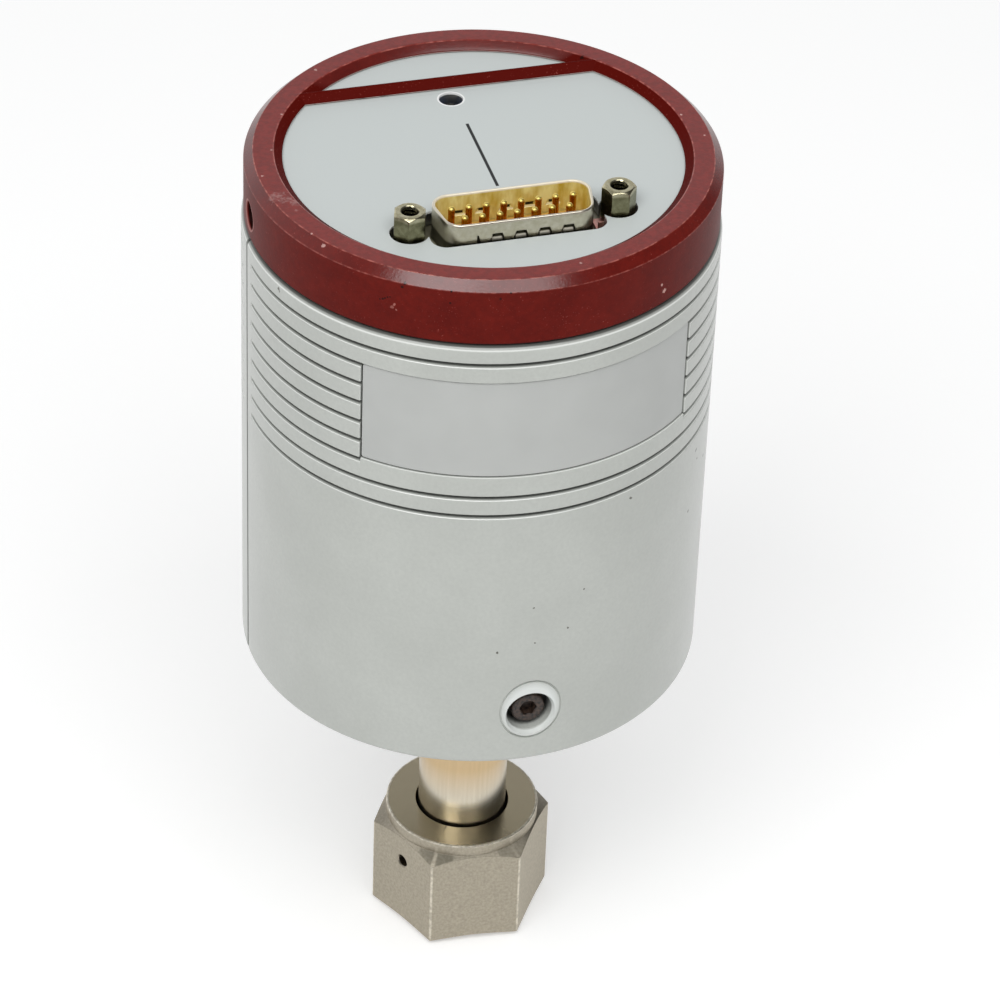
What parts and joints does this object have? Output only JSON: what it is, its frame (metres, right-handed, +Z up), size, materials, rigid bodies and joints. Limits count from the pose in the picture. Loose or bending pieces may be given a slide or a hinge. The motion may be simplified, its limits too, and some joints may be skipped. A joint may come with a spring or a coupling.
{
  "type": "capacitance diaphragm gauge",
  "caption": "Heated capacitance diaphragm vacuum gauge: round grey housing in two half shells, dark red cap with a multi-pin plug, and a tube port with a hexagonal coupling nut.",
  "frame": {"origin": "centre of the coupling nut's lower face, on the gauge's axis, where the standing gauge meets the surface", "axes": "+Z up the gauge's axis from the port to the plug; -Y towards the plug, the blank label and the front screw; +X to the right seen from the label side"},
  "size_m": [0.0762, 0.0762, 0.1579],
  "materials": {
    "housing_grey": "moulded light grey plastic, satin",
    "cap_red": "moulded dark red plastic, satin, worn pale on its edges",
    "overlay_grey": "printed polyester film, bare, semi-matt",
    "label_grey": "blank polyester label, semi-matt",
    "stainless": "turned and polished stainless steel",
    "nut_steel": "satin stainless steel",
    "aluminium_plate": "machined aluminium",
    "nickel_plate": "warm nickel-plated steel",
    "gold_plate": "gold-plated contact",
    "insulator_yellow": "golden moulded insulator",
    "copper": "bare copper",
    "board_green": "solder-masked glass-fibre board",
    "black_oxide": "blackened steel",
    "foam": "off-white insulating felt",
    "heater_film": "orange heater film",
    "ceramic": "white alumina",
    "trimmer_blue": "blue moulded trimmer case",
    "brass": "machined brass"
  },
  "bodies": {
    "gauge": {"base_plate": "aluminium_plate", "cap": "cap_red", "cap_screw_left": "black_oxide", "cap_screw_right": "black_oxide", "connector_insulator": "insulator_yellow", "connector_shell": "nickel_plate", "contact_pin_01": "gold_plate", "contact_pin_02": "gold_plate", "contact_pin_03": "gold_plate", "contact_pin_04": "gold_plate", "contact_pin_05": "gold_plate", "contact_pin_06": "gold_plate", "contact_pin_07": "gold_plate", "contact_pin_08": "gold_plate", "contact_pin_09": "gold_plate", "contact_pin_10": "gold_plate", "contact_pin_11": "gold_plate", "contact_pin_12": "gold_plate", "contact_pin_13": "gold_plate", "contact_pin_14": "gold_plate", "contact_pin_15": "gold_plate", "electrode_disc": "ceramic", "electrode_spring": "stainless", "feedthrough_pin_1": "gold_plate", "feedthrough_pin_2": "gold_plate", "front_label": "label_grey", "front_shell": "housing_grey", "front_shell_screw": "black_oxide", "ground_lug": "copper", "heater_band": "heater_film", "heater_can": "aluminium_plate", "heater_lid": "aluminium_plate", "inlet_tube": "stainless", "insulation_pad": "foam", "insulation_sleeve": "foam", "jackpost_left": "nickel_plate", "jackpost_right": "nickel_plate", "lower_standoff_1": "brass", "lower_standoff_2": "brass", "lower_standoff_3": "brass", "lower_standoff_4": "brass", "main_board": "board_green", "rear_shell": "housing_grey", "rear_shell_screw": "black_oxide", "reference_tube": "copper", "sealing_gland": "stainless", "sensor_base": "stainless", "sensor_board": "board_green", "sensor_cover": "stainless", "sensor_diaphragm": "stainless", "top_overlay": "overlay_grey", "top_plate": "aluminium_plate", "upper_standoff_1": "brass", "upper_standoff_2": "brass", "upper_standoff_3": "brass", "upper_standoff_4": "brass", "zero_trimmer_body": "trimmer_blue"},
    "nut": {"coupling_nut": "nut_steel"},
    "zero_screw": {"zero_trimmer_screw": "brass"}
  },
  "joints": [
    {"name": "nut_turn", "type": "hinge", "parent": "gauge", "child": "nut", "pos_m": [0, 0, 0.0108], "axis": [0, 0, 1], "continuous": true},
    {"name": "zero_screw_turn", "type": "hinge", "parent": "gauge", "child": "zero_screw", "pos_m": [-0.0006, 0.01795, 0.15075], "axis": [0, 0, 1], "continuous": true}
  ]
}
